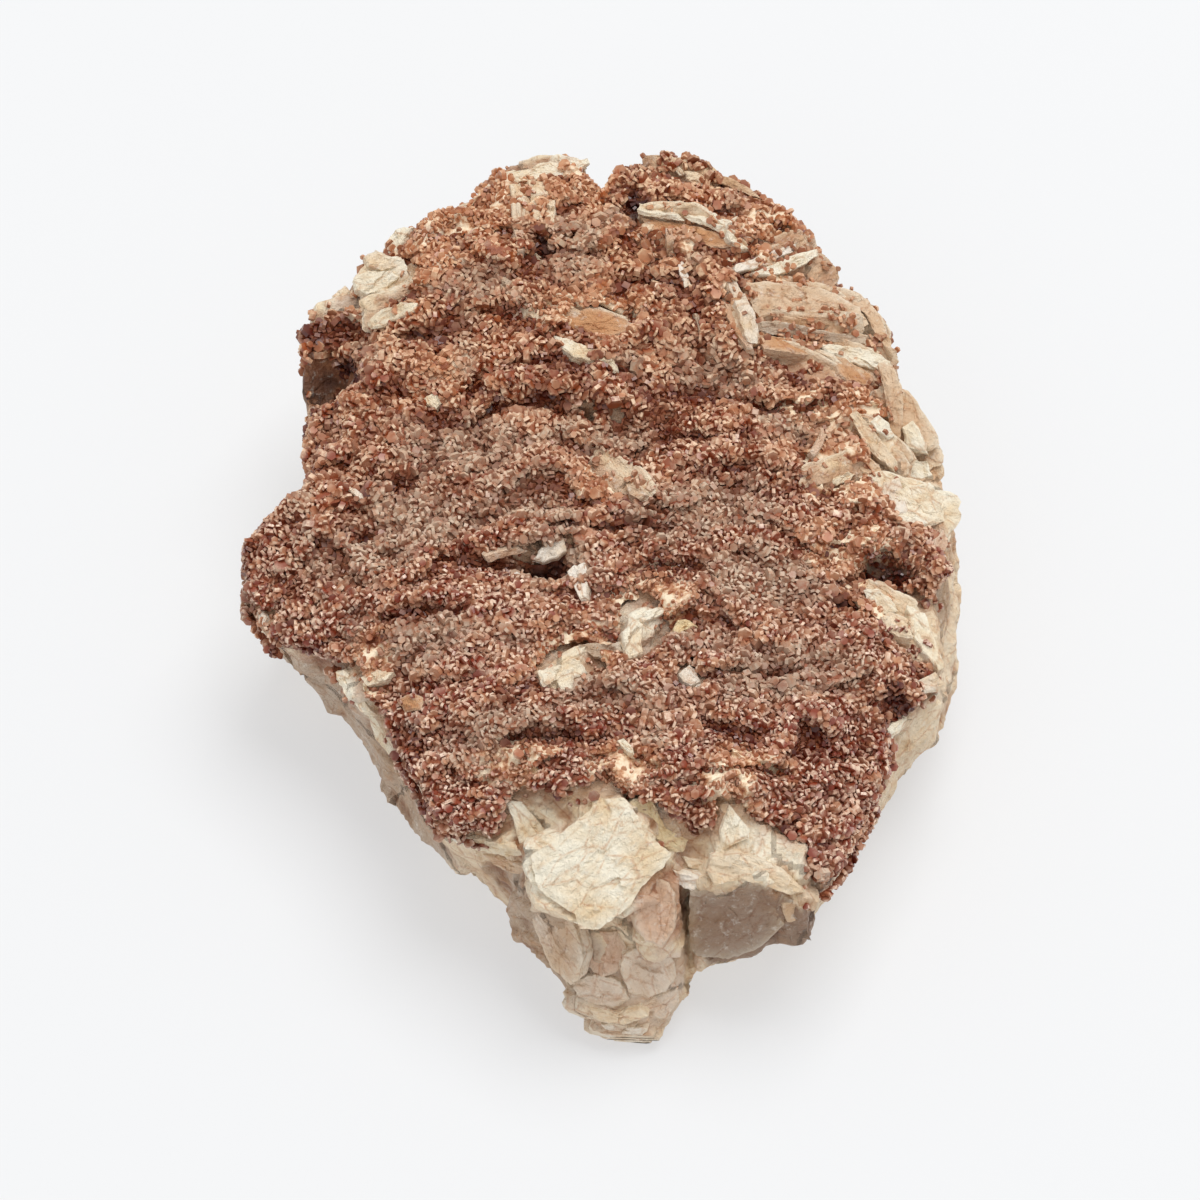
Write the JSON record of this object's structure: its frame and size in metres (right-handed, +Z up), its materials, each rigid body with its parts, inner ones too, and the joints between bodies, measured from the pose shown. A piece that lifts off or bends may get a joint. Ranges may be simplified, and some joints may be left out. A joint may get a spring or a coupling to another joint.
{
  "type": "vanadinite specimen",
  "caption": "Mineral specimen: a thick plate of pale bladed barite with a crust of red-brown vanadinite crystals over its upper face, lying on a flat broken base.",
  "frame": {"origin": "middle of the bounding box at the level of the flat broken base", "axes": "+Z up from the base through the crust, +Y to the specimen's rear, away from the picture's viewer, +X to its right as pictured"},
  "size_m": [0.1203, 0.1548, 0.0497],
  "materials": {
    "barite_matrix": "pale cream to pink-tan barite, translucent at thin edges, satin on cleavage faces and chalky where broken",
    "vanadinite_crust": "small red-brown vanadinite crystals with glassy to resinous faces, dusted tan and grey in the hollows"
  },
  "bodies": {
    "root": {"barite_matrix": "barite_matrix", "vanadinite_crust": "vanadinite_crust"}
  },
  "joints": []
}
